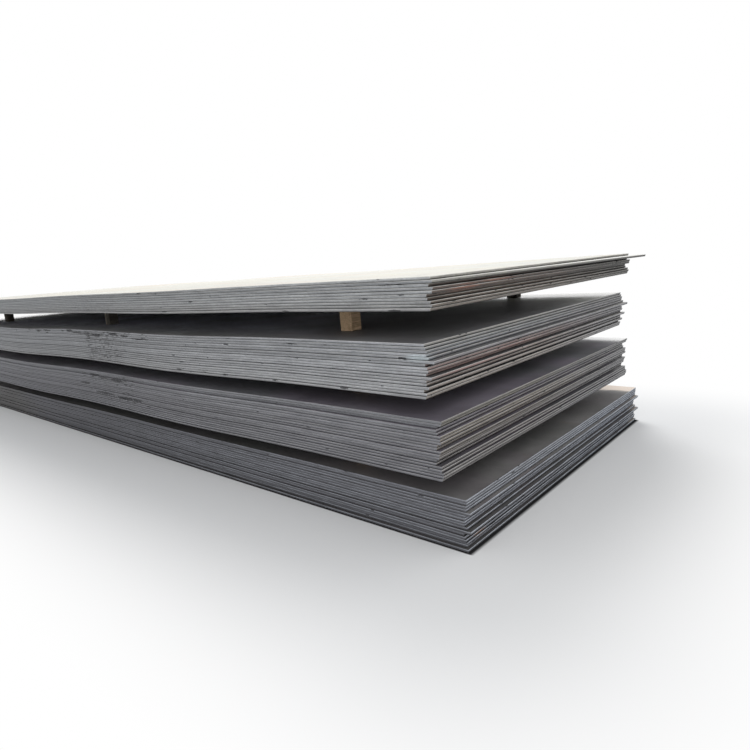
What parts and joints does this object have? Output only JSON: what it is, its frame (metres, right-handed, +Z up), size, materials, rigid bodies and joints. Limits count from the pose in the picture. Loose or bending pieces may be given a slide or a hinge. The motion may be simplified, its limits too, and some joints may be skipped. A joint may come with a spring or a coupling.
{
  "type": "stack of steel plates on timber spacers",
  "caption": "Tall stack of large flat steel plates in four packs, held apart by short timber spacer blocks.",
  "frame": {"origin": "middle of the lowest plate's underside, on the floor", "axes": "+Z up, +X along the plates towards the near end, +Y across the plates away from the near side"},
  "size_m": [6.151, 2.154, 1.0409],
  "materials": {
    "lower_pack_steel": "hot rolled, mill scale with patches of rust on the cut edges",
    "second_pack_steel": "hot rolled, mill scale with patches of rust on the cut edges",
    "third_pack_steel": "hot rolled, mill scale with patches of rust on the cut edges",
    "upper_pack_steel": "hot rolled, mill scale with patches of rust on the cut edges",
    "top_plate_steel": "pale dusty mill scale",
    "timber": "rough sawn softwood"
  },
  "bodies": {
    "root": {"lower_pack": "lower_pack_steel", "second_pack": "second_pack_steel", "third_pack": "third_pack_steel", "upper_pack": "upper_pack_steel", "second_plate": "upper_pack_steel", "top_plate": "top_plate_steel", "lower_spacer_near_front": "timber", "lower_spacer_middle_front": "timber", "lower_spacer_far_front": "timber", "lower_spacer_near_back": "timber", "lower_spacer_middle_back": "timber", "lower_spacer_far_back": "timber", "middle_spacer_near_front": "timber", "middle_spacer_middle_front": "timber", "middle_spacer_far_front": "timber", "middle_spacer_near_back": "timber", "middle_spacer_middle_back": "timber", "middle_spacer_far_back": "timber", "upper_spacer_near_front": "timber", "upper_spacer_middle_front": "timber", "upper_spacer_far_front": "timber", "upper_spacer_near_back": "timber", "upper_spacer_middle_back": "timber", "upper_spacer_far_back": "timber"}
  },
  "joints": []
}
